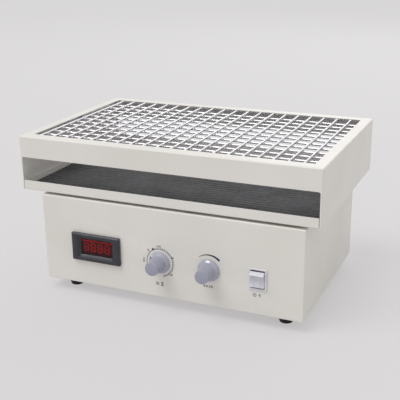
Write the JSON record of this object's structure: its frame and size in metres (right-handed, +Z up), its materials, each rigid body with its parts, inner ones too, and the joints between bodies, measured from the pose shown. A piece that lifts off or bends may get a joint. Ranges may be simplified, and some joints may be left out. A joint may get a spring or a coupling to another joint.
{
  "type": "laboratory shaker",
  "caption": "Bench shaker with a box base, a sliding spring-net tray above it, two panel knobs, a meter window and a rocker switch.",
  "frame": {"origin": "middle of the outer box's underside, on the plane that the four feet stand on", "axes": "+X to the right of someone facing the controls, +Y away from them to the back, +Z up"},
  "size_m": [0.455, 0.317, 0.2348],
  "materials": {
    "ivory_paint": "semi-gloss powder coat",
    "mat_rubber": "matt, ribbed",
    "foot_rubber": "matt",
    "spring_steel": "bright wire",
    "plain_steel": "plain",
    "cast_metal": "as cast and turned",
    "motor_iron": "painted can",
    "knob_plastic": "satin grey",
    "switch_plastic": "light grey",
    "meter_plastic": "black, fine texture",
    "meter_lens": "dark red smoked filter",
    "black_plastic": "black",
    "board_green": "circuit board",
    "belt_rubber": "matt"
  },
  "bodies": {
    "base": {"base_housing": "ivory_paint", "bottom_plate": "ivory_paint", "foot_front_left": "foot_rubber", "foot_front_right": "foot_rubber", "foot_back_left": "foot_rubber", "foot_back_right": "foot_rubber", "drive_frame": "plain_steel", "guide_rod_front": "plain_steel", "guide_rod_back": "plain_steel", "spindle_housing": "cast_metal", "motor": "motor_iron", "drive_belt": "belt_rubber", "meter_case": "meter_plastic", "meter_window": "meter_lens", "timer_case": "plain_steel", "speed_pot": "plain_steel", "switch_frame": "switch_plastic", "power_inlet": "black_plastic", "fuse_holder": "black_plastic", "control_board": "board_green"},
    "tray": {"tray_frame": "ivory_paint", "tray_floor": "ivory_paint", "rubber_mat": "mat_rubber", "front_back_spring_01": "spring_steel", "front_back_spring_02": "spring_steel", "front_back_spring_03": "spring_steel", "front_back_spring_04": "spring_steel", "front_back_spring_05": "spring_steel", "front_back_spring_06": "spring_steel", "front_back_spring_07": "spring_steel", "front_back_spring_08": "spring_steel", "front_back_spring_09": "spring_steel", "front_back_spring_10": "spring_steel", "front_back_spring_11": "spring_steel", "front_back_spring_12": "spring_steel", "front_back_spring_13": "spring_steel", "front_back_spring_14": "spring_steel", "front_back_spring_15": "spring_steel", "front_back_spring_16": "spring_steel", "front_back_spring_17": "spring_steel", "front_back_spring_18": "spring_steel", "front_back_spring_19": "spring_steel", "front_back_spring_20": "spring_steel", "cross_spring_net": "spring_steel", "rail_saddle_front": "plain_steel", "rail_saddle_back": "plain_steel", "rail_saddle_left": "plain_steel", "rail_saddle_right": "plain_steel", "carriage": "plain_steel", "guide_bush_front_left": "cast_metal", "guide_bush_front_right": "cast_metal", "guide_bush_back_left": "cast_metal", "guide_bush_back_right": "cast_metal"},
    "crank": {"crank_pulley": "cast_metal"},
    "motor_rotor": {"motor_pulley": "cast_metal"},
    "rod": {"connecting_rod": "cast_metal", "crank_pin": "plain_steel"},
    "timer": {"timer_knob": "knob_plastic"},
    "speed": {"speed_knob": "knob_plastic"},
    "rocker": {"switch_rocker": "switch_plastic"}
  },
  "joints": [
    {"name": "tray_slide", "type": "slide", "parent": "base", "child": "tray", "axis": [1, 0, 0], "range_m": [-0.0035, 0.0165]},
    {"name": "crank_spin", "type": "hinge", "parent": "base", "child": "crank", "pos_m": [-0.0535, -0.0005, 0.1202], "axis": [0, 0, 1], "continuous": true},
    {"name": "motor_spin", "type": "hinge", "parent": "base", "child": "motor_rotor", "pos_m": [0.1015, -0.0005, 0.1202], "axis": [0, 0, 1], "continuous": true},
    {"name": "rod_swing", "type": "hinge", "parent": "tray", "child": "rod", "pos_m": [0.05, -0.0005, 0.1338], "axis": [0, 0, 1], "range_deg": [-1.1, 9.2]},
    {"name": "timer_turn", "type": "hinge", "parent": "base", "child": "timer", "pos_m": [-0.0037, -0.1315, 0.071], "axis": [0, 1, 0], "range_deg": [0, 250]},
    {"name": "speed_turn", "type": "hinge", "parent": "base", "child": "speed", "pos_m": [0.0715, -0.1315, 0.0715], "axis": [0, 1, 0], "range_deg": [-150, 150]},
    {"name": "switch_rock", "type": "hinge", "parent": "base", "child": "rocker", "pos_m": [0.143, -0.1315, 0.0703], "axis": [1, 0, 0], "range_deg": [-24, 0]}
  ],
  "couplings": [
    {"joint": "motor_spin", "follows": "crank_spin", "ratio": 3.2857}
  ]
}
